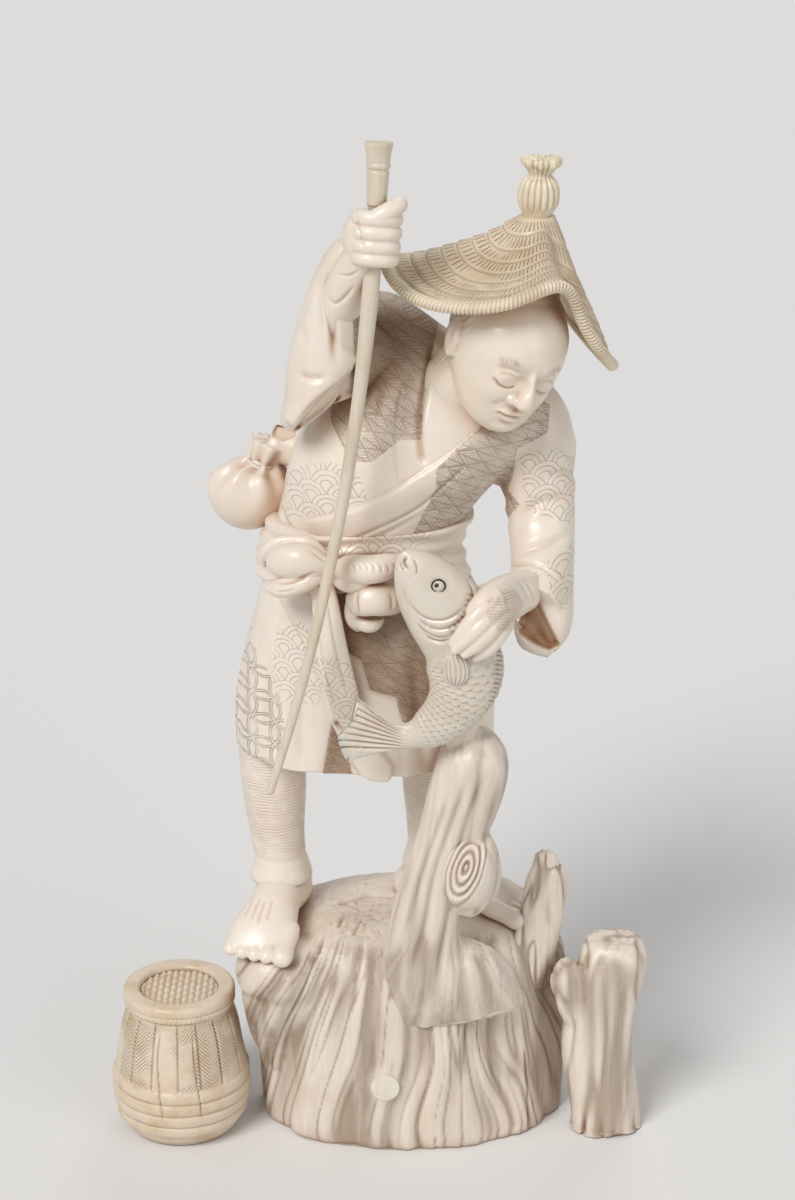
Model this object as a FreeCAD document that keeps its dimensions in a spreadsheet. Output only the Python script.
import FreeCAD, Part
import math
import os
import Sketcher

# Carved fisherman ornament: a figure in a straw hat stands on a stump, with a carp in one hand and a rod in the
# other. The figure is pegged and glued together from many small carved pieces; the rod slips out of the fist.
# A creel and a cut log stand loose beside it. +Z is up, the figure faces -Y, and the origin is in the middle of
# the base's flat underside. Tables whose name ends in shares hold shares of the sizes that scale them.

doc = FreeCAD.newDocument("fisherman")
sheet = doc.addObject("Spreadsheet::Sheet", "sizes")

# Driving dimensions in millimetres
SIZES = (
    # stump base
    ("base_width", 86.0),
    ("base_depth", 56.0),
    ("base_height", 62.0),
    ("plug_diameter", 7.6),
    ("plug_length", 8.0),
    ("plug_side", 6.5),
    ("plug_rise", 20.7),
    # leaning trunk with its burl, and the side branch
    ("trunk_width", 20.0),
    ("trunk_depth", 19.0),
    ("trunk_side", 12.0),
    ("trunk_front", 21.0),
    ("trunk_sink", 22.0),
    ("trunk_drop", 34.0),
    ("trunk_rest_width", 14.0),
    ("burl_width", 15.0),
    ("burl_depth", 11.0),
    ("burl_height", 21.0),
    ("branch_width", 13.0),
    ("branch_depth", 9.0),
    ("branch_length", 36.0),
    ("branch_side", 30.0),
    ("branch_front", 12.0),
    ("branch_lean", 5.5),
    ("branch_sink", 18.0),
    # feet and legs
    ("foot_length", 34.0),
    ("foot_width", 18.0),
    ("foot_thick", 14.0),
    ("ankle_width", 13.0),
    ("leg_height", 46.5),
    ("leg_width", 17.6),
    ("right_leg_side", 34.5),
    ("left_leg_side", 6.5),
    ("left_leg_back", 8.0),
    # robe
    ("skirt_width", 68.0),
    ("skirt_depth", 44.0),
    ("skirt_height", 56.5),
    ("skirt_side", 11.5),
    ("skirt_hollow", 5.0),
    ("torso_width", 62.0),
    ("torso_depth", 40.0),
    ("torso_height", 62.0),
    ("sash_width", 14.0),
    ("sash_thick", 1.6),
    ("bow_length", 20.0),
    ("bow_width", 15.0),
    ("bow_thick", 12.0),
    ("knot_width", 12.0),
    ("knot_height", 13.0),
    ("knot_thick", 13.0),
    ("tail_length", 36.0),
    ("tail_width", 10.0),
    ("tail_thick", 4.0),
    ("pouch_width", 24.0),
    ("pouch_depth", 18.0),
    ("pouch_height", 20.0),
    ("pouch_neck_width", 12.0),
    # head and hat
    ("head_width", 29.0),
    ("head_depth", 33.0),
    ("head_height", 32.5),
    ("neck_width", 21.0),
    ("hat_width", 86.0),
    ("hat_depth", 56.0),
    ("hat_height", 36.0),
    ("hat_wall", 2.2),
    ("hat_rise", 30.6),
    ("hat_side", 7.9),
    ("hat_back", 8.0),
    ("hat_crown_width", 9.0),
    ("finial_height", 15.0),
    ("finial_width", 10.2),
    # raised right arm
    ("right_sleeve_width", 18.6),
    ("right_sleeve_depth", 18.0),
    ("right_sleeve_height", 50.0),
    ("fist_side", 11.4),
    ("fist_front", 21.0),
    ("fist_rise", 35.0),
    ("fist_width", 12.0),
    ("fist_height", 14.5),
    ("forearm_width", 10.4),
    # lowered left arm
    ("left_sleeve_width", 19.0),
    ("cuff_drop", 16.0),
    ("hand_width", 13.5),
    ("hand_thick", 7.0),
    # rod, bent to a long even curve
    ("rod_bend_radius", 580.0),
    ("rod_reach", 142.0),
    ("rod_diameter", 4.2),
    ("rod_tip_diameter", 2.0),
    ("rod_butt_diameter", 6.8),
    ("rod_butt_length", 15.0),
    ("rod_socket_depth", 5.0),
    ("rod_clearance", 0.1),
    ("rod_seat_gap", 0.3),
    # carp
    ("carp_length", 74.0),
    ("carp_width", 21.0),
    ("carp_thick", 14.0),
    ("carp_side", 9.7),
    ("carp_drop", 8.2),
    ("carp_gap", 6.5),
    ("eye_diameter", 4.2),
    ("eye_ring_wall", 0.7),
    ("pupil_diameter", 1.8),
    ("eye_inlay_length", 2.4),
    # creel
    ("creel_width", 37.2),
    ("creel_height", 42.0),
    ("creel_side", 62.2),
    ("creel_front", 10.0),
    ("creel_rim_width", 30.2),
    ("creel_lid_diameter", 21.0),
    ("creel_lid_thick", 2.4),
    ("creel_lid_sink", 0.9),
    ("creel_hollow", 3.0),
    ("hoop_height", 3.6),
    ("hoop_groove", 0.5),
    # loose log with its twig stub
    ("log_width", 21.5),
    ("log_depth", 19.0),
    ("log_height", 57.5),
    ("log_side", 53.8),
    ("log_front", 13.0),
    ("twig_width", 10.0),
    # hidden pegs
    ("peg_diameter", 3.0),
    ("peg_length", 12.0),
    ("small_peg_diameter", 1.8),
    ("small_peg_length", 7.0),
    ("overrun", 2.0),
)
for row, (alias, value) in enumerate(SIZES, start=1):
    sheet.set(f"A{row}", alias)
    sheet.set(f"B{row}", str(value))
    sheet.setAlias(f"B{row}", alias)
doc.recompute()


class Size:
    """The driving dimensions by name, read from the sheet."""

    def __getattr__(self, alias):
        return float(getattr(sheet, alias))


size = Size()
RING_POINTS = 12


def at(x, y, z):
    return FreeCAD.Vector(x, y, z)


X_AXIS = at(1, 0, 0)
Y_AXIS = at(0, 1, 0)
Z_AXIS = at(0, 0, 1)


def between(a, b, share):
    return a + (b - a) * share


def offset(origin, shares, extents):
    """The point that lies those shares of three sizes away from origin."""
    return origin + at(*(share * extent for share, extent in zip(shares, extents)))


def closed_curve(points):
    curve = Part.BSplineCurve()
    curve.interpolate(Points=points, PeriodicFlag=True)
    return Part.Wire([curve.toShape()])


def oval(centre, across, along, half_across, half_along):
    """A smooth oval ring, given the directions of its two half-sizes."""
    angles = [2 * math.pi * k / RING_POINTS for k in range(RING_POINTS)]
    return closed_curve([
        centre + across * (half_across * math.cos(angle)) + along * (half_along * math.sin(angle))
        for angle in angles])


def level_loft(place, extents, rows):
    """A solid through level ovals. A row holds height, x, y, half width and half depth as shares of extents."""
    width, depth, height = extents
    rings = [oval(place + at(x * width, y * depth, z * height), X_AXIS, Y_AXIS, a * width, b * depth)
             for z, x, y, a, b in rows]
    return Part.makeLoft(rings, True, False)


def limb(points, halves, side=X_AXIS):
    """A solid along a path. Each ring stands square to it, with the first of its half-sizes along side."""
    rings = []
    last = len(points) - 1
    for k, (point, (a, b)) in enumerate(zip(points, halves)):
        heading = points[min(k + 1, last)] - points[max(k - 1, 0)]
        heading.normalize()
        across = side - heading * side.dot(heading)
        across.normalize()
        rings.append(oval(point, across, heading.cross(across), a, b))
    return Part.makeLoft(rings, True, False)


def limb_by_shares(origin, extents, rows, thickness, side=X_AXIS):
    """A limb whose rows hold x, y, z as shares of extents and two half-sizes as shares of thickness."""
    points = [offset(origin, row[:3], extents) for row in rows]
    halves = [(row[3] * thickness[0], row[4] * thickness[1]) for row in rows]
    return limb(points, halves, side)


EGG_SHARES = tuple((height, 0.0, 0.0, half, half) for height, half in (
    (-0.50, 0.10), (-0.46, 0.20), (-0.34, 0.37), (-0.15, 0.48),
    (0.15, 0.48), (0.34, 0.37), (0.46, 0.20), (0.50, 0.10)))


def egg(centre, full_sizes):
    """A rounded lump of those three full sizes."""
    return level_loft(centre, full_sizes, EGG_SHARES)


def largest(shape):
    return max(shape.Solids, key=lambda solid: solid.Volume)


def cut(shape, *tools):
    """The shape less the tools, without the crumbs that a curved cut can leave."""
    for tool in tools:
        shape = largest(shape.cut(tool))
    return shape


def fuse(shape, *others):
    for other in others:
        shape = shape.fuse(other)
    return largest(shape)


# Heights that the whole figure shares, and the places of its parts
base_top = size.base_height
hem = base_top + size.leg_height
waist = hem + size.skirt_height
right_ankle = at(-size.right_leg_side, 0, base_top)
left_ankle = at(size.left_leg_side, size.left_leg_back, base_top)
skirt_place = at(-size.skirt_side, 0, hem)
skirt_extents = (size.skirt_width, size.skirt_depth, size.skirt_height)
torso_place = at(-size.skirt_side, 0, waist)
torso_extents = (size.torso_width, size.torso_depth, size.torso_height)

HEAD_SHARE = (0.555, -0.35, 0.893)
NECK_SHARE = (0.30, -0.10, 0.60)
LEFT_SHOULDER_SHARE = (0.621, 0.05, 0.565)
RIGHT_SHOULDER_SHARE = (-0.137, -0.20, 0.806)
head_centre = offset(torso_place, HEAD_SHARE, torso_extents)
neck_root = offset(torso_place, NECK_SHARE, torso_extents)
left_shoulder = offset(torso_place, LEFT_SHOULDER_SHARE, torso_extents)
right_shoulder = offset(torso_place, RIGHT_SHOULDER_SHARE, torso_extents)
fist_centre = right_shoulder + at(size.fist_side, -size.fist_front, size.fist_rise)
carp_front = size.skirt_depth / 2 + size.carp_gap + size.carp_thick / 2
carp_heart = at(size.carp_side, -carp_front, waist - size.carp_drop)

pieces = {}

# Stump base: a flat-bottomed block of root, fuller above the middle, with a ledge under the right foot. Bark ribs
# run up its side and fade out over its shoulder. The last number of a row is how deep the grooves between them are.
BASE_SHARES = (
    (0.00, 0.000, 0.00, 0.497, 0.500, 0.030),
    (0.20, 0.000, 0.00, 0.505, 0.505, 0.045),
    (0.50, -0.018, 0.00, 0.520, 0.515, 0.050),
    (0.74, -0.022, 0.00, 0.523, 0.500, 0.045),
    (0.86, -0.020, 0.01, 0.500, 0.460, 0.030),
    (0.95, -0.010, 0.03, 0.420, 0.385, 0.010),
    (1.00, 0.000, 0.05, 0.300, 0.270, 0.000),
)
BARK_RIBS = 12
RIB_POINTS = 4
plug_angle = -math.pi / 2 - math.asin(2 * size.plug_side / size.base_width)
LEDGE_SHARE = (-0.40, -0.29, 0.80)
LEDGE_SIZE_SHARE = (0.31, 0.44, 0.31)
base_extents = (size.base_width, size.base_depth, size.base_height)
base_origin = at(0, 0, 0)


def ribbed_ring(z, x, y, a, b, groove):
    """A level ring of the base. It is an oval that dips in between the ribs, one of which holds the plug."""
    points = []
    for k in range(BARK_RIBS * RIB_POINTS):
        angle = 2 * math.pi * k / (BARK_RIBS * RIB_POINTS)
        dip = groove * (1 - math.cos(BARK_RIBS * (angle - plug_angle))) / 2
        points.append(offset(base_origin, (x + a * (1 - dip) * math.cos(angle), y + b * (1 - dip) * math.sin(angle), z),
                             base_extents))
    return closed_curve(points)


base = Part.makeLoft([ribbed_ring(*row) for row in BASE_SHARES], True, False)
ledge = egg(offset(base_origin, LEDGE_SHARE, base_extents),
            [share * extent for share, extent in zip(LEDGE_SIZE_SHARE, base_extents)])
pieces["base_mound"] = fuse(base, ledge)

# Trunk: a wide root lip low on the front of the base, then a slim leaning stem up to the back of the carp
TRUNK_SHARES = (
    (0.00, 0.00, -0.02, 0.96, 0.34),
    (0.09, -0.12, -0.05, 0.90, 0.45),
    (0.20, -0.42, -0.09, 0.62, 0.47),
    (0.29, -0.50, -0.10, 0.49, 0.44),
    (0.50, -0.40, -0.07, 0.44, 0.42),
    (0.72, -0.18, -0.04, 0.46, 0.42),
    (0.85, -0.08, -0.02, 0.49, 0.45),
    (0.94, -0.03, 0.00, 0.43, 0.45),
    (1.00, 0.00, 0.00, 0.24, 0.25),
)
TRUNK_TOP_SHARE = 0.38
root = at(size.trunk_side, -size.trunk_front, base_top - size.trunk_sink)
crest = carp_heart + at(TRUNK_TOP_SHARE * size.carp_width, TRUNK_TOP_SHARE * size.carp_width, -size.trunk_drop)
trunk_points = []
trunk_halves = []
for z, x, y, a, b in TRUNK_SHARES:
    trunk_points.append(between(root, crest, z) + at(x * size.trunk_width, y * size.trunk_depth, 0))
    trunk_halves.append((a * size.trunk_width, b * size.trunk_depth))
TRUNK_REST_SHARE = (0.05, 0.40, -1.36)
TRUNK_REST_SIZE_SHARE = (1.0, 0.8, 1.1)
trunk_rest = egg(carp_heart + at(TRUNK_REST_SHARE[0] * size.carp_width, TRUNK_REST_SHARE[1] * size.carp_thick,
                                 TRUNK_REST_SHARE[2] * size.carp_width),
                 [share * size.trunk_rest_width for share in TRUNK_REST_SIZE_SHARE])
trunk = fuse(limb(trunk_points, trunk_halves), trunk_rest)
BURL_TRUNK_SHARE = 0.55
BURL_SIDE_SHARE = 0.02
BURL_FRONT_SHARE = 0.36
burl_centre = between(root, crest, BURL_TRUNK_SHARE) - at(
    BURL_SIDE_SHARE * size.trunk_width, BURL_FRONT_SHARE * size.trunk_depth, 0)
burl = egg(burl_centre, (size.burl_width, size.burl_depth, size.burl_height))

# Side branch: a broken flat stub that grows out of the base's right shoulder
BRANCH_SHARES = (
    (0.00, 0.00, 0.08, 0.54, 0.56),
    (0.26, 0.10, 0.10, 0.50, 0.44),
    (0.62, 0.20, 0.30, 0.45, 0.35),
    (0.85, 0.15, 0.45, 0.38, 0.30),
    (1.00, 0.00, 0.55, 0.16, 0.20),
)
branch_root = at(size.branch_side, -size.branch_front, base_top - size.branch_sink)
branch_tip = branch_root + at(size.branch_lean, 0, size.branch_length)
branch_points = []
branch_halves = []
for z, x, y, a, b in BRANCH_SHARES:
    sway = at(x * size.branch_width, y * size.branch_depth, 0)
    branch_points.append(between(branch_root, branch_tip, z) + sway)
    branch_halves.append((a * size.branch_width, b * size.branch_depth))
branch = limb(branch_points, branch_halves)

# Feet: bare, each with its ankle up into the gaiter
RIGHT_FOOT_SHARES = (
    (0.12, 0.24, 0.06, 0.20, 0.28),
    (0.10, 0.14, 0.20, 0.36, 0.46),
    (-0.05, -0.16, 0.26, 0.37, 0.46),
    (-0.18, -0.42, 0.05, 0.45, 0.36),
    (-0.28, -0.62, -0.16, 0.49, 0.26),
    (-0.34, -0.76, -0.34, 0.36, 0.14),
)
LEFT_FOOT_SHARES = (
    (-0.24, 0.16, 0.06, 0.20, 0.28),
    (-0.08, 0.08, 0.20, 0.36, 0.46),
    (0.38, -0.06, 0.26, 0.36, 0.44),
    (0.87, -0.20, 0.14, 0.42, 0.32),
    (1.21, -0.30, 0.00, 0.46, 0.24),
    (1.40, -0.35, -0.06, 0.34, 0.12),
)
ANKLE_SHARES = (
    (0.03, 0.00, 0.00, 0.48, 0.55),
    (0.02, 0.02, 0.12, 0.48, 0.52),
    (0.00, 0.02, 0.24, 0.46, 0.48),
)
foot_extents = (size.foot_width, size.foot_length, size.foot_thick)
foot_thickness = (size.foot_width, size.foot_thick)
ankle_extents = (size.leg_width, size.leg_width, size.leg_height)
ankle_thickness = (size.ankle_width, size.ankle_width)
right_foot = fuse(limb_by_shares(right_ankle, foot_extents, RIGHT_FOOT_SHARES, foot_thickness),
                  limb_by_shares(right_ankle, ankle_extents, ANKLE_SHARES, ankle_thickness))
left_foot = fuse(limb_by_shares(left_ankle, foot_extents, LEFT_FOOT_SHARES, foot_thickness, Y_AXIS),
                 limb_by_shares(left_ankle, ankle_extents, ANKLE_SHARES, ankle_thickness))

# Legs in wound gaiters, which flare over the ankles
RIGHT_LEG_SHARES = (
    (0.00, 0.00, 0.17, 0.43, 0.43),
    (0.00, 0.00, 0.24, 0.40, 0.40),
    (-0.03, 0.00, 0.36, 0.40, 0.41),
    (-0.08, 0.00, 0.67, 0.47, 0.47),
    (-0.11, 0.00, 1.00, 0.50, 0.51),
    (-0.11, 0.00, 1.20, 0.50, 0.51),
)
LEFT_LEG_SHARES = tuple((0.0, y, z, a, b) for _, y, z, a, b in RIGHT_LEG_SHARES)
leg_extents = (size.leg_width, size.leg_width, size.leg_height)
leg_thickness = (size.leg_width, size.leg_width)
right_leg = limb_by_shares(right_ankle, leg_extents, RIGHT_LEG_SHARES, leg_thickness)
left_leg = limb_by_shares(left_ankle, leg_extents, LEFT_LEG_SHARES, leg_thickness)

# Robe: skirt with a shallow hollow at its hem, and the torso leaning over to the left arm
SKIRT_SHARES = (
    (0.00, -0.010, 0.00, 0.500, 0.500),
    (0.13, -0.010, 0.00, 0.505, 0.500),
    (0.43, 0.000, 0.00, 0.485, 0.490),
    (0.70, 0.004, 0.00, 0.438, 0.455),
    (0.90, -0.006, 0.00, 0.388, 0.443),
    (1.00, -0.015, 0.00, 0.360, 0.435),
)
HOLLOW_SHARES = (
    (-0.50, -0.010, 0.00, 0.455, 0.435),
    (1.00, -0.010, 0.00, 0.445, 0.425),
)
TORSO_SHARES = (
    (0.000, -0.016, 0.000, 0.392, 0.480),
    (0.161, 0.048, -0.012, 0.418, 0.500),
    (0.339, 0.143, -0.025, 0.476, 0.512),
    (0.500, 0.232, -0.012, 0.500, 0.500),
    (0.661, 0.280, 0.025, 0.410, 0.460),
    (0.774, 0.232, 0.075, 0.275, 0.375),
    (0.871, 0.151, 0.125, 0.200, 0.262),
    (0.968, 0.087, 0.175, 0.125, 0.200),
    (1.016, 0.054, 0.200, 0.056, 0.100),
)
skirt = level_loft(skirt_place, skirt_extents, SKIRT_SHARES)
hollow = level_loft(skirt_place, (size.skirt_width, size.skirt_depth, size.skirt_hollow), HOLLOW_SHARES)
skirt = cut(skirt, hollow)
torso = level_loft(torso_place, torso_extents, TORSO_SHARES)

# Sash, its bow, its knot and the hanging end
SASH_LOW_SHARES = ((0.86, -0.004, 0.398, 0.446), (1.00, -0.015, 0.360, 0.435))
SASH_HIGH_SHARES = ((0.12, 0.032, 0.411, 0.496),)
SASH_FRONT_SHARE = 0.44
FOLD_SIZE_SHARE = 0.7
BOW_SHARE = (-0.28, -0.10, 0.05)
BOW_FOLD_SHARE = (-0.31, 0.10, -0.40)
BOW_ROLL_SHARE = (0.06, -0.05, 0.05)
KNOT_SHARE = (0.065, -0.25, -0.52)
TAIL_SHARES = (
    (-0.11, 0.30, 0.00, 0.45, 0.50),
    (-0.14, 0.30, -0.30, 0.50, 0.50),
    (-0.12, 0.15, -0.65, 0.48, 0.50),
    (-0.08, 0.05, -1.00, 0.40, 0.35),
)
sash_rings = [oval(offset(skirt_place, (x, 0, z), skirt_extents), X_AXIS, Y_AXIS,
                   a * size.skirt_width + size.sash_thick, b * size.skirt_depth + size.sash_thick)
              for z, x, a, b in SASH_LOW_SHARES]
sash_rings += [oval(offset(torso_place, (x, 0, z), torso_extents), X_AXIS, Y_AXIS,
                    a * size.torso_width + size.sash_thick, b * size.torso_depth + size.sash_thick)
               for z, x, a, b in SASH_HIGH_SHARES]
sash_outer = Part.makeLoft(sash_rings, True, False)
sash_front = torso_place - Y_AXIS * (SASH_FRONT_SHARE * size.skirt_depth + size.sash_thick)
bow_extents = (size.torso_width, size.bow_thick, size.bow_width)
knot_extents = (size.torso_width, size.knot_thick, size.knot_height)
bow_middle = offset(sash_front, BOW_SHARE, bow_extents)
knot_middle = offset(sash_front, KNOT_SHARE, knot_extents)
bow = fuse(egg(bow_middle, (size.bow_length, size.bow_thick, size.bow_width)),
           egg(offset(sash_front, BOW_FOLD_SHARE, bow_extents),
               (size.bow_length * FOLD_SIZE_SHARE, size.bow_thick, size.bow_width * FOLD_SIZE_SHARE)),
           egg(offset(sash_front, BOW_ROLL_SHARE, bow_extents),
               (size.bow_length, size.bow_thick, size.bow_width * FOLD_SIZE_SHARE)))
knot = egg(knot_middle, (size.knot_width, size.knot_thick, size.knot_height))
tail = limb_by_shares(sash_front, (size.torso_width, size.tail_thick, size.tail_length), TAIL_SHARES,
                      (size.tail_width, size.tail_thick))

# Drawstring pouch tucked behind the right hip: a round bag, its tied neck and its open frill
POUCH_SHARE = (-0.475, 0.225, 0.165)
POUCH_FRILL_SHARE = (-0.385, 0.225, 0.370)
POUCH_BACK_SHARE = (-0.250, 0.170, 0.350)
pouch_low = offset(torso_place, POUCH_SHARE, torso_extents)
pouch_frill = offset(torso_place, POUCH_FRILL_SHARE, torso_extents)
pouch_back = offset(torso_place, POUCH_BACK_SHARE, torso_extents)
POUCH_TIE_SHARE = 0.62
POUCH_NECK_SHARES = (0.46, 0.36, 0.52, 0.40)
pouch = fuse(egg(pouch_low, (size.pouch_width, size.pouch_depth, size.pouch_height)),
             limb([pouch_low, between(pouch_low, pouch_frill, POUCH_TIE_SHARE), pouch_frill, pouch_back],
                  [(half * size.pouch_neck_width, half * size.pouch_neck_width) for half in POUCH_NECK_SHARES],
                  Y_AXIS))

# Head, bowed and turned over the left shoulder, on its neck, with a crown that fills the inside of the hat
HEAD_TURN = 22
HEAD_BOW = 25
HEAD_ROLL = 17
head_pose = (FreeCAD.Rotation(Z_AXIS, HEAD_TURN).multiply(FreeCAD.Rotation(X_AXIS, HEAD_BOW))
             .multiply(FreeCAD.Rotation(Y_AXIS, HEAD_ROLL)))


def head_point(x, y, z):
    """A place in the head's own frame, as shares of its width, depth and height."""
    return head_centre + head_pose.multVec(at(x * size.head_width, y * size.head_depth, z * size.head_height))


HEAD_SHARES = (
    (-0.50, -0.33, 0.13, 0.10),
    (-0.44, -0.27, 0.28, 0.20),
    (-0.30, -0.16, 0.40, 0.33),
    (-0.10, -0.05, 0.47, 0.44),
    (0.10, 0.00, 0.50, 0.49),
    (0.28, 0.03, 0.46, 0.46),
    (0.42, 0.05, 0.33, 0.34),
    (0.50, 0.05, 0.12, 0.13),
)
NOSE_SHARES = (
    (0.00, -0.44, 0.06, 0.06, 0.07),
    (0.00, -0.51, -0.08, 0.07, 0.08),
    (0.00, -0.52, -0.13, 0.09, 0.06),
    (0.00, -0.44, -0.16, 0.05, 0.04),
)
skull = Part.makeLoft(
    [oval(head_point(0, y, z), head_pose.multVec(X_AXIS), head_pose.multVec(Y_AXIS), a * size.head_width,
          b * size.head_depth) for z, y, a, b in HEAD_SHARES], True, False)
nose = limb([head_point(x, y, z) for x, y, z, _, _ in NOSE_SHARES],
            [(a * size.head_width, b * size.head_depth) for _, _, _, a, b in NOSE_SHARES],
            head_pose.multVec(X_AXIS))
NECK_SHARES = ((0.00, 0.50), (0.45, 0.47), (1.00, 0.45))
neck = limb([between(neck_root, head_centre, up) for up, _ in NECK_SHARES],
            [(half * size.neck_width, half * size.neck_width) for _, half in NECK_SHARES])
hat_apex = head_centre + at(size.hat_side, size.hat_back, size.hat_rise)
CROWN_SHARES = ((0.00, 0.44), (0.55, 0.30), (0.86, 0.15))
CROWN_TIP_SHARE = 0.4
crown_points = [between(head_centre, hat_apex, up) for up, _ in CROWN_SHARES]
crown_points.append(hat_apex - Z_AXIS * size.hat_wall)
crown_halves = [(half * size.head_width, half * size.head_depth) for _, half in CROWN_SHARES]
crown_halves.append((CROWN_TIP_SHARE * size.hat_crown_width, CROWN_TIP_SHARE * size.hat_crown_width))
crown = limb(crown_points, crown_halves)
head = fuse(skull, neck, nose, crown)

# Straw hat: a thin bent shell, steep at the crown, with an uneven brim that is pinched at the front right
BRIM_SHARES = (
    (-0.425, -0.14, -0.28),
    (-0.391, -0.27, -0.37),
    (-0.308, -0.39, -0.44),
    (-0.199, -0.48, -0.44),
    (-0.076, -0.50, -0.39),
    (0.059, -0.39, -0.33),
    (0.128, -0.29, -0.62),
    (0.222, -0.07, -0.99),
    (0.175, 0.14, -0.93),
    (0.084, 0.36, -0.73),
    (-0.060, 0.47, -0.52),
    (-0.210, 0.42, -0.54),
    (-0.350, 0.20, -0.38),
)
HAT_PROFILE_SHARES = ((0.00, 0.00), (0.10, 0.17), (0.25, 0.43), (0.45, 0.67), (0.72, 0.88), (1.00, 1.00))
hat_extents = (size.hat_width, size.hat_depth, size.hat_height)


def hat_ring(out_share, down_share, drop):
    """One ring of the shell, part of the way from the crown's little circle to the brim, moved down by drop."""
    points = []
    for x, y, z in BRIM_SHARES:
        heading = at(x * size.hat_width, y * size.hat_depth, 0)
        heading.normalize()
        inner = hat_apex + heading * (size.hat_crown_width / 2)
        outer = offset(hat_apex, (x, y, z), hat_extents)
        level = between(inner, outer, out_share)
        points.append(at(level.x, level.y, inner.z + (outer.z - inner.z) * down_share - drop))
    return closed_curve(points)


hat_rings = [hat_ring(out, down, 0) for out, down in HAT_PROFILE_SHARES]
hat_rings += [hat_ring(out, down, size.hat_wall) for out, down in reversed(HAT_PROFILE_SHARES)]
hat = Part.makeLoft(hat_rings, True, True)

# Finial: the tied tuft of straw at the peak
FINIAL_SHARES = (
    (-0.20, 0.30), (0.00, 0.36), (0.18, 0.48), (0.38, 0.50), (0.55, 0.42), (0.66, 0.31),
    (0.74, 0.34), (0.84, 0.46), (0.92, 0.44), (0.97, 0.30), (1.00, 0.10),
)
FINIAL_LEAN_SHARE = 0.07
finial = limb([hat_apex + at(FINIAL_LEAN_SHARE * z * size.finial_height, 0, z * size.finial_height)
               for z, _ in FINIAL_SHARES],
              [(half * size.finial_width, half * size.finial_width) for _, half in FINIAL_SHARES])

# Raised right arm: a wide hanging sleeve, and the forearm that comes up out of it to the fist
RIGHT_SLEEVE_SHARES = (
    (-0.32, -0.50, -0.30, 0.10, 0.16),
    (-0.28, -0.47, -0.31, 0.20, 0.28),
    (-0.18, -0.28, -0.33, 0.32, 0.44),
    (-0.02, -0.12, -0.35, 0.44, 0.50),
    (0.18, 0.02, -0.38, 0.48, 0.52),
    (0.40, 0.14, -0.50, 0.43, 0.47),
    (0.56, 0.22, -0.62, 0.32, 0.38),
    (0.66, 0.24, -0.68, 0.15, 0.20),
)
UPPER_ARM_SHARES = (
    (-0.10, -0.25, -0.04, 0.42, 0.44),
    (0.35, 0.20, -0.02, 0.44, 0.46),
    (0.86, 0.60, -0.04, 0.42, 0.42),
)
FOREARM_SHARES = (
    (0.00, 0.38, 0.29, 0.54, 0.54),
    (0.35, 0.62, 0.55, 0.54, 0.54),
    (0.62, 0.86, 0.79, 0.50, 0.50),
    (1.00, 1.00, 0.97, 0.44, 0.44),
)
sleeve_extents = (size.right_sleeve_width, size.right_sleeve_depth, size.right_sleeve_height)
right_sleeve = fuse(
    level_loft(right_shoulder, sleeve_extents, RIGHT_SLEEVE_SHARES),
    limb_by_shares(right_shoulder, sleeve_extents, UPPER_ARM_SHARES,
                   (size.right_sleeve_width, size.right_sleeve_width), Y_AXIS))
fist_reach = (size.fist_side, -size.fist_front, size.fist_rise)
forearm = limb_by_shares(right_shoulder, fist_reach, FOREARM_SHARES, (size.forearm_width, size.forearm_width))
THUMB_SHARES = (
    (-0.30, -0.20, 0.15, 0.18, 0.18),
    (0.05, -0.30, 0.34, 0.18, 0.18),
    (0.34, -0.16, 0.42, 0.17, 0.17),
    (0.47, -0.02, 0.46, 0.09, 0.09),
)
fist_extents = (size.fist_width, size.fist_width, size.fist_height)
thumb = limb_by_shares(fist_centre, fist_extents, THUMB_SHARES, (size.fist_width, size.fist_width))
fist = egg(fist_centre, fist_extents)
right_hand = fuse(forearm, fist, thumb)

# Rod: one even bend through the fist, thick above and thin below
ROD_TILT = 4.29
ROD_FIST_ANGLE = -3.85
rod_up = FreeCAD.Rotation(X_AXIS, -ROD_TILT).multVec(Z_AXIS)
rod_normal = X_AXIS.cross(rod_up)


def rod_direction(angle):
    return X_AXIS * math.cos(math.radians(angle)) + rod_up * math.sin(math.radians(angle))


bend_centre = fist_centre - rod_direction(ROD_FIST_ANGLE) * size.rod_bend_radius


def rod_point(along):
    """The point on the rod's middle line, that far up it from the fist."""
    angle = ROD_FIST_ANGLE + math.degrees(along / size.rod_bend_radius)
    return bend_centre + rod_direction(angle) * size.rod_bend_radius


def rod_heading(along):
    angle = ROD_FIST_ANGLE + math.degrees(along / size.rod_bend_radius)
    return rod_direction(angle + 90)


def rod_pipe(low, high, radius):
    """A round bar along the bend, between two distances from the fist."""
    spine = Part.Arc(rod_point(low), rod_point((low + high) / 2), rod_point(high)).toShape()
    circle = Part.Circle(rod_point(low), rod_heading(low), radius).toShape()
    return Part.Wire([spine]).makePipeShell([Part.Wire([circle])], True, False)


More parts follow.
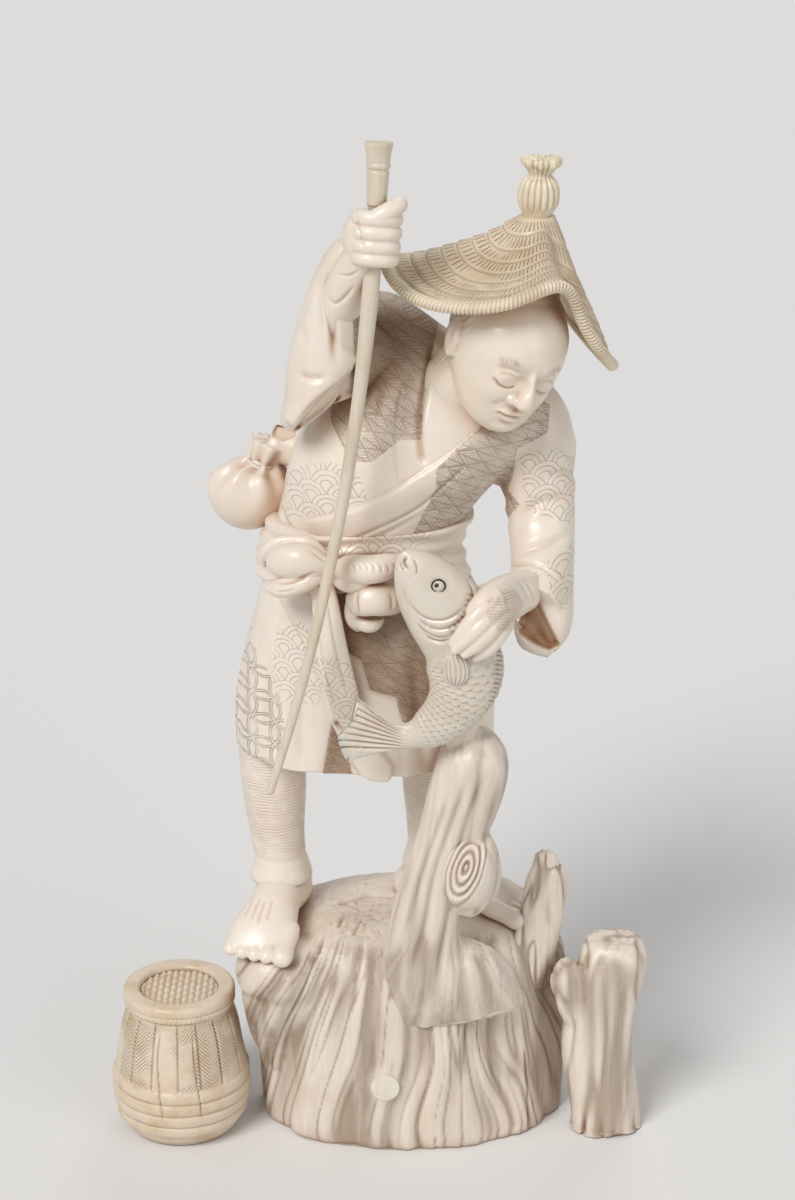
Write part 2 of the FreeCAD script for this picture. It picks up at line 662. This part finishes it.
grip_end = size.fist_height
butt_start = size.fist_height / 2 + size.rod_seat_gap
grip = rod_pipe(-grip_end, butt_start + size.rod_socket_depth, size.rod_diameter / 2)
TAPER_SHARES = ((0.00, 0.00), (0.15, 0.36), (0.45, 0.55), (0.80, 0.78), (1.00, 1.00))
rod_rings = []
for down, thin in TAPER_SHARES:
    along = -grip_end - down * (size.rod_reach - grip_end)
    radius = (size.rod_diameter + (size.rod_tip_diameter - size.rod_diameter) * thin) / 2
    rod_rings.append(Part.Wire([Part.Circle(rod_point(along), rod_heading(along), radius).toShape()]))
shaft = Part.makeLoft(rod_rings, True, False)
pieces["rod_shaft"] = grip.fuse(shaft).removeSplitter().Solids[0]
bore = rod_pipe(-size.fist_height, size.fist_height, size.rod_diameter / 2 + size.rod_clearance)

# Lowered left arm: shoulder, sleeve with a drooping cuff, and the gloved hand laid over the carp
SLEEVE_END_SHARES = (1.02, 1.10, 0.06)
LEFT_SLEEVE_SHARES = (
    (0.00, -0.55, -0.10, 0.00, 0.36, 0.40),
    (0.00, 0.00, 0.05, 0.04, 0.49, 0.52),
    (0.36, 0.20, 0.26, 0.00, 0.55, 0.52),
    (0.76, 0.18, 0.44, 0.00, 0.49, 0.50),
    (0.94, 0.12, 0.18, 0.00, 0.44, 0.46),
    (1.06, -0.04, -0.06, 0.00, 0.38, 0.40),
)
CUFF_SHARES = (
    (0.20, 0.50, 0.40, 0.40, 0.42),
    (0.20, 0.22, -0.20, 0.38, 0.44),
    (0.28, 0.06, -0.66, 0.26, 0.32),
    (0.22, 0.00, -0.96, 0.08, 0.12),
)
HAND_SHARES = (
    (1.16, 1.20, 0.34, 0.36, 0.50),
    (0.84, 0.68, 0.20, 0.40, 0.57),
    (0.52, 0.11, 0.11, 0.52, 0.52),
    (0.30, -0.32, -0.07, 0.50, 0.45),
    (0.15, -0.49, -0.25, 0.44, 0.36),
    (0.02, -0.53, -0.43, 0.32, 0.24),
)
carp_extents = (size.carp_width, size.carp_thick, size.carp_width)
cuff = offset(carp_heart, SLEEVE_END_SHARES, carp_extents)
sleeve_points = []
sleeve_halves = []
for down, x, y, z, a, b in LEFT_SLEEVE_SHARES:
    sleeve_points.append(between(left_shoulder, cuff, down) + at(x, y, z) * size.left_sleeve_width)
    sleeve_halves.append((a * size.left_sleeve_width, b * size.left_sleeve_width))
left_sleeve = fuse(
    limb(sleeve_points, sleeve_halves),
    limb_by_shares(cuff, (size.left_sleeve_width, size.left_sleeve_width, size.cuff_drop), CUFF_SHARES,
                   (size.left_sleeve_width, size.left_sleeve_width)))
left_hand = limb_by_shares(carp_heart, carp_extents, HAND_SHARES, (size.hand_width, size.hand_thick), Z_AXIS)

# Carp: bent like a bow, head up, tail swept round to the front of the robe, with fins
CARP_SHARES = (
    (-0.158, 0.236, 0.08, 0.09),
    (-0.136, 0.202, 0.22, 0.20),
    (-0.100, 0.150, 0.36, 0.33),
    (-0.052, 0.080, 0.46, 0.44),
    (0.000, 0.000, 0.50, 0.50),
    (0.042, -0.112, 0.46, 0.46),
    (0.052, -0.215, 0.43, 0.41),
    (0.012, -0.320, 0.33, 0.31),
    (-0.078, -0.402, 0.23, 0.21),
    (-0.172, -0.430, 0.17, 0.13),
    (-0.240, -0.424, 0.25, 0.09),
    (-0.350, -0.402, 0.44, 0.06),
)
DORSAL_SHARES = ((0.085, 0.060, 0.06), (0.140, -0.060, 0.08), (0.150, -0.160, 0.08), (0.100, -0.270, 0.05))
carp_points = [carp_heart + at(x * size.carp_length, 0, z * size.carp_length) for x, z, _, _ in CARP_SHARES]
carp_halves = [(thick * size.carp_thick, wide * size.carp_width) for _, _, wide, thick in CARP_SHARES]
carp = limb(carp_points, carp_halves, Y_AXIS)
dorsal = limb([carp_heart + at(x * size.carp_length, 0, z * size.carp_length) for x, z, _ in DORSAL_SHARES],
              [(share * size.carp_thick, 2 * share * size.carp_width) for _, _, share in DORSAL_SHARES], Y_AXIS)
carp = fuse(carp, dorsal)

# Loose log: a cut stump of branch with a flat foot and a twig stub
LOG_SHARES = (
    (0.00, 0.00, 0.00, 0.475, 0.42),
    (0.20, -0.06, 0.00, 0.465, 0.42),
    (0.45, -0.14, 0.00, 0.470, 0.44),
    (0.70, -0.06, 0.00, 0.450, 0.44),
    (0.90, 0.03, 0.00, 0.450, 0.45),
    (0.97, 0.04, 0.04, 0.390, 0.38),
    (1.00, 0.03, 0.08, 0.240, 0.22),
)
TWIG_SHARES = (
    (-0.16, 0.00, 0.50, 0.60, 0.50),
    (-0.46, -0.15, 0.70, 0.50, 0.46),
    (-0.56, -0.26, 0.87, 0.46, 0.40),
    (-0.60, -0.30, 0.93, 0.20, 0.22),
)
log_place = at(size.log_side, -size.log_front, 0)
log_extents = (size.log_width, size.log_depth, size.log_height)
log = fuse(level_loft(log_place, log_extents, LOG_SHARES),
           limb_by_shares(log_place, log_extents, TWIG_SHARES, (size.twig_width, size.twig_width)))
pieces["loose_log"] = log

# Carp's eyes: on each side a dark ring with a pupil, let into the head from its surface
EYE_SHARE = (-0.040, 0.138)
eye_line = carp_heart + at(EYE_SHARE[0] * size.carp_length, 0, EYE_SHARE[1] * size.carp_length)
eye_probe = Part.makeLine(eye_line - Y_AXIS * size.carp_thick, eye_line + Y_AXIS * size.carp_thick)
eye_depths = [vertex.Y for vertex in carp.common(eye_probe).Vertexes]
eye_front = at(eye_line.x, min(eye_depths), eye_line.z)
eye_back = at(eye_line.x, max(eye_depths), eye_line.z)
eye_seats = {
    "front": FreeCAD.Placement(eye_front, FreeCAD.Rotation(Z_AXIS, Y_AXIS)),
    "back": FreeCAD.Placement(eye_back, FreeCAD.Rotation(Z_AXIS, -Y_AXIS)),
}


def expression(name, share=1):
    return f"sizes.{name} * {share}"


def origin_plane(body, role):
    return next(feature for feature in body.Origin.OriginFeatures if feature.Role == role)


def new_body(name, place):
    body = doc.addObject("PartDesign::Body", name)
    body.Label = name
    body.Placement = place
    return body


def new_sketch(body, name, role):
    sketch = body.newObject("Sketcher::SketchObject", name)
    sketch.AttachmentSupport = (origin_plane(body, role), "")
    sketch.MapMode = "FlatFace"
    return sketch


def draw_circle(sketch, diameter):
    """A circle about the origin whose diameter is bound to an expression."""
    circle = sketch.addGeometry(Part.Circle(at(0, 0, 0), Z_AXIS, 1), False)
    sketch.addConstraint(Sketcher.Constraint("Coincident", circle, 3, -1, 1))
    number = sketch.addConstraint(Sketcher.Constraint("Diameter", circle, 1))
    sketch.setExpression(f"Constraints[{number}]", diameter)


def draw_outline(sketch, corners):
    """A closed outline of straight edges. A corner's two distances are bound to expressions; None is zero."""
    count = len(corners)
    angles = [2 * math.pi * k / count for k in range(count)]
    middle = at(size.overrun, size.overrun, 0)
    rough = [middle + at(math.cos(angle), math.sin(angle), 0) for angle in angles]
    for k in range(count):
        sketch.addGeometry(Part.LineSegment(rough[k], rough[(k + 1) % count]), False)
    for k in range(count):
        sketch.addConstraint(Sketcher.Constraint("Coincident", k, 2, (k + 1) % count, 1))
    for k, corner in enumerate(corners):
        for kind, axis, distance in zip(("DistanceX", "DistanceY"), (-2, -1), corner):
            if distance is None:
                sketch.addConstraint(Sketcher.Constraint("PointOnObject", k, 1, axis))
                continue
            number = sketch.addConstraint(Sketcher.Constraint(kind, -1, 1, k, 1, 1))
            sketch.setExpression(f"Constraints[{number}]", distance)


def disc_body(name, place, diameter, length, bore=None):
    """A round pin, disc or ring, padded from one or two circles."""
    body = new_body(name, place)
    sketch = new_sketch(body, f"{name}_circle", "XY_Plane")
    draw_circle(sketch, diameter)
    if bore:
        draw_circle(sketch, bore)
    pad = body.newObject("PartDesign::Pad", f"{name}_pad")
    pad.Profile = sketch
    pad.setExpression("Length", length)
    return body


def turned_body(name, place, corners):
    """A piece turned about its own Z axis from a closed outline."""
    body = new_body(name, place)
    sketch = new_sketch(body, f"{name}_outline", "XZ_Plane")
    draw_outline(sketch, corners)
    turn = body.newObject("PartDesign::Revolution", f"{name}_turn")
    turn.Profile = sketch
    turn.ReferenceAxis = (sketch, ["V_Axis"])
    turn.Angle = 360
    return body


def group(name, members):
    """Several like solids under one name."""
    compound = doc.addObject("Part::Compound", name)
    compound.Label = name
    compound.Links = members
    return compound


nodes = {}

# Base plug: the round plug let into the front of the base, just proud of it
PLUG_FRONT_SHARE = 0.507
plug_point = at(-size.plug_side, -PLUG_FRONT_SHARE * size.base_depth, size.plug_rise)
nodes["base_plug"] = disc_body("base_plug", FreeCAD.Placement(plug_point, FreeCAD.Rotation(Z_AXIS, Y_AXIS)),
                               "sizes.plug_diameter", "sizes.plug_length")

# Rod butt: the flared bamboo grip, bored to sit over the top of the shaft
BUTT_SHARES = (
    (0.35, None), (0.39, 0.55), (0.43, 0.60), (0.42, 0.66), (0.47, 0.90), (0.50, 0.95), (0.46, 1.00),
)
butt_corners = [(None, "sizes.rod_socket_depth"), ("sizes.rod_diameter / 2", "sizes.rod_socket_depth"),
                ("sizes.rod_diameter / 2", None)]
butt_corners += [(expression("rod_butt_diameter", half), up and expression("rod_butt_length", up))
                 for half, up in BUTT_SHARES]
butt_corners.append((None, "sizes.rod_butt_length"))
butt_place = FreeCAD.Placement(rod_point(butt_start), FreeCAD.Rotation(Z_AXIS, rod_heading(butt_start)))
nodes["rod_butt"] = turned_body("rod_butt", butt_place, butt_corners)

# Creel: a turned barrel on a rounded foot, with a rope collar, hoops parted by grooves, and a seat for its lid
CREEL_SHARES = (
    (0.30, None), (0.36, None), (0.43, 0.05), (0.48, 0.16), (0.50, 0.30),
    (0.485, 0.48), (0.45, 0.66), (0.405, 0.82), (0.375, 0.88),
)
COLLAR_SHARES = ((0.50, 0.90), (0.50, 0.97), (0.47, 1.00))
CREEL_HOLLOW_SHARE = 0.28
creel_place = at(-size.creel_side, -size.creel_front, 0)
lid_rise = "sizes.creel_height - sizes.creel_lid_sink - sizes.creel_lid_thick"
creel_corners = [(None, "sizes.creel_hollow")]
creel_corners.append((expression("creel_width", CREEL_HOLLOW_SHARE), "sizes.creel_hollow"))
for half, up in CREEL_SHARES:
    creel_corners.append((expression("creel_width", half), up and expression("creel_height", up)))
for half, up in COLLAR_SHARES:
    creel_corners.append((expression("creel_rim_width", half), expression("creel_height", up)))
creel_corners.append(("sizes.creel_lid_diameter / 2", "sizes.creel_height"))
creel_corners.append(("sizes.creel_lid_diameter / 2", lid_rise))
creel_corners.append((None, lid_rise))
creel = turned_body("creel_body", FreeCAD.Placement(creel_place, FreeCAD.Rotation()), creel_corners)
doc.recompute()
barrel_volume = creel.Shape.Volume
HOOP_COUNT = 4
HOOP_SHARE = 0.10
GROOVE_SHARE = 0.44
groove_sketch = new_sketch(creel, "creel_groove_outline", "XZ_Plane")
groove_in = expression("creel_width", GROOVE_SHARE)
groove_out = "sizes.creel_width / 2 + sizes.overrun"
groove_low = expression("creel_height", HOOP_SHARE)
draw_outline(groove_sketch, ((groove_in, groove_low), (groove_out, groove_low),
                             (groove_out, f"{groove_low} + sizes.hoop_groove"),
                             (groove_in, f"{groove_low} + sizes.hoop_groove")))
groove = creel.newObject("PartDesign::Groove", "creel_groove")
groove.Profile = groove_sketch
groove.ReferenceAxis = (groove_sketch, ["V_Axis"])
groove.Angle = 360
hoops = creel.newObject("PartDesign::LinearPattern", "creel_hoops")
hoops.Originals = [groove]
hoops.Direction = (origin_plane(creel, "Z_Axis"), [""])
hoops.Occurrences = HOOP_COUNT
hoops.setExpression("Length", f"sizes.hoop_height * {HOOP_COUNT - 1}")
creel.Tip = hoops
nodes["creel_body"] = creel
lid_place = creel_place + at(0, 0, size.creel_height - size.creel_lid_sink - size.creel_lid_thick)
nodes["creel_lid"] = disc_body("creel_lid", FreeCAD.Placement(lid_place, FreeCAD.Rotation()),
                               "sizes.creel_lid_diameter", "sizes.creel_lid_thick")

# The four inlays of the eyes
eye_bodies = []
for side, seat in eye_seats.items():
    eye_bodies.append(disc_body(f"eye_ring_{side}", seat, "sizes.eye_diameter", "sizes.eye_inlay_length",
                                "sizes.eye_diameter - sizes.eye_ring_wall * 2"))
    eye_bodies.append(disc_body(f"eye_pupil_{side}", seat, "sizes.pupil_diameter", "sizes.eye_inlay_length"))
nodes["carp_eyes"] = group("carp_eyes", eye_bodies)

# Hidden pegs: each crosses a glued joint, and every piece there is drilled for it
leg_top = hem + size.skirt_hollow
WAIST_PEG_SHARE = 0.20
waist_step = at(WAIST_PEG_SHARE * size.torso_width, 0, 0)
ankle_top = Z_AXIS * (ANKLE_SHARES[-1][2] * size.leg_height)
right_leg_top = at(right_ankle.x + RIGHT_LEG_SHARES[-1][0] * size.leg_width, right_ankle.y, leg_top)
PEG_BASE_SHARE = (0.0, -0.35, 0.925)
PEG_SLEEVE_SHARE = (0.24, 0.10, -0.10)
PEG_SHOULDER_SHARE = (0.60, 0.02, 0.38)
peg_joints = (
    ("trunk_peg", offset(base_origin, PEG_BASE_SHARE, base_extents) + X_AXIS * (size.trunk_side / 2), Z_AXIS),
    ("right_foot_peg", right_ankle - Z_AXIS * size.peg_diameter, Z_AXIS),
    ("left_foot_peg", left_ankle - Z_AXIS * (size.peg_diameter / 2), Z_AXIS),
    ("right_ankle_peg", right_ankle + ankle_top, Z_AXIS),
    ("left_ankle_peg", left_ankle + ankle_top, Z_AXIS),
    ("right_leg_peg", right_leg_top, Z_AXIS),
    ("left_leg_peg", at(left_ankle.x, left_ankle.y, leg_top), Z_AXIS),
    ("right_waist_peg", torso_place - waist_step, Z_AXIS),
    ("left_waist_peg", torso_place + waist_step, Z_AXIS),
    ("neck_peg", neck_root, head_centre - neck_root),
    ("right_shoulder_peg", offset(right_shoulder, PEG_SLEEVE_SHARE, sleeve_extents), X_AXIS),
    ("left_shoulder_peg", offset(torso_place, PEG_SHOULDER_SHARE, torso_extents), X_AXIS),
)
BRANCH_PEG_RISE_SHARE = 0.38
BRANCH_PEG_SIDE_SHARE = 0.13
BACK_PEG_SHARE = 0.25
BOW_PEG_SHARE = 0.30
KNOT_PEG_SHARE = 0.40
POUCH_PEG_SHARE = 0.30
branch_peg = between(branch_root, branch_tip, BRANCH_PEG_RISE_SHARE)
branch_peg += X_AXIS * (BRANCH_PEG_SIDE_SHARE * size.branch_width)
carp_peg = carp_heart + at(TRUNK_REST_SHARE[0] * size.carp_width, BACK_PEG_SHARE * size.carp_thick,
                           TRUNK_REST_SHARE[2] * size.carp_width)
small_peg_joints = (
    ("branch_peg", branch_peg, Z_AXIS),
    ("burl_peg", burl_centre + Y_AXIS * (BACK_PEG_SHARE * size.burl_depth), Y_AXIS),
    ("carp_peg", carp_peg, Y_AXIS),
    ("pouch_peg", between(pouch_low, torso_place, POUCH_PEG_SHARE), X_AXIS),
    ("bow_peg", bow_middle + Y_AXIS * (BOW_PEG_SHARE * size.bow_thick), Y_AXIS),
    ("knot_peg", knot_middle + Y_AXIS * (KNOT_PEG_SHARE * size.knot_thick), Y_AXIS),
    ("finial_peg", hat_apex, Z_AXIS),
)


def peg_row(name, joints, diameter, length):
    """A round pin for each joint, half on each side of it, all in one group."""
    pins = []
    for label, point, direction in joints:
        direction = FreeCAD.Vector(direction)
        direction.normalize()
        pin = doc.addObject("Part::Cylinder", label)
        pin.setExpression("Radius", f"sizes.{diameter} / 2")
        pin.setExpression("Height", expression(length))
        pin.Placement = FreeCAD.Placement(point - direction * (getattr(size, length) / 2),
                                          FreeCAD.Rotation(Z_AXIS, direction))
        pins.append(pin)
    nodes[name] = group(name, pins)
    return pins


pins = peg_row("joint_pegs", peg_joints, "peg_diameter", "peg_length")
pins += peg_row("small_pegs", small_peg_joints, "small_peg_diameter", "small_peg_length")
doc.recompute()
if not creel.Shape.Volume < barrel_volume:
    raise SystemExit("the creel's grooves cut nothing")

# Each piece is hollowed out by what it is fitted onto, so that they meet face to face
plug = nodes["base_plug"].Shape
eyes = [body.Shape for body in eye_bodies]
pieces["base_mound"] = cut(pieces["base_mound"], plug)
pieces["carp"] = cut(carp, *eyes)
pieces["trunk"] = cut(trunk, pieces["base_mound"], carp)
pieces["trunk_burl"] = cut(burl, trunk, pieces["base_mound"])
pieces["side_branch"] = cut(branch, pieces["base_mound"], trunk)
pieces["right_foot"] = cut(right_foot, pieces["base_mound"])
pieces["left_foot"] = cut(left_foot, pieces["base_mound"], trunk, branch)
pieces["robe_skirt"] = skirt
pieces["right_leg"] = cut(right_leg, skirt, right_foot)
pieces["left_leg"] = cut(left_leg, skirt, left_foot)
pieces["hat"] = hat
pieces["head_and_neck"] = cut(head, hat)
pieces["right_hand"] = cut(right_hand, bore)
pieces["left_hand"] = cut(left_hand, carp)
pieces["robe_torso"] = cut(torso, head, skirt, right_hand)
pieces["right_sleeve"] = cut(right_sleeve, torso, right_hand, head)
pieces["left_sleeve"] = cut(left_sleeve, torso, left_hand, carp, head)
pieces["hat_finial"] = cut(finial, hat, head)
pieces["sash_band"] = cut(sash_outer, skirt, torso)
pieces["sash_bow"] = cut(bow, sash_outer, skirt, torso)
pieces["sash_knot"] = cut(knot, bow, sash_outer, skirt, carp)
pieces["sash_tail"] = cut(tail, bow, knot, sash_outer, skirt, carp)
pieces["pouch"] = cut(pouch, torso, sash_outer, skirt, right_sleeve)

for name, shape in pieces.items():
    near = [pin.Shape for pin in pins if pin.Shape.BoundBox.intersect(shape.BoundBox)]
    piece = doc.addObject("Part::Feature", name)
    piece.Label = name
    piece.Shape = cut(shape, *near)
    piece.Placement = FreeCAD.Placement()
    nodes[name] = piece
doc.recompute()

# Nothing is written unless every object and every shape is sound. The rod's hinge is the middle of its bend.
for thing in doc.Objects:
    if "Invalid" in thing.State or "Error" in thing.State:
        raise SystemExit(f"{thing.Label} failed")
for name, node in nodes.items():
    if node.Shape.isNull() or not node.Shape.isValid() or not node.Shape.Solids:
        raise SystemExit(f"{name} has no sound shape")

print(f"bend centre {bend_centre}, axis {rod_normal}")
os.makedirs("parts", exist_ok=True)
for name, node in nodes.items():
    print(f"{name}: {len(node.Shape.Solids)} solid(s), {node.Shape.Volume:.0f} cubic mm")
    node.Shape.exportStep(f"parts/{name}.step")
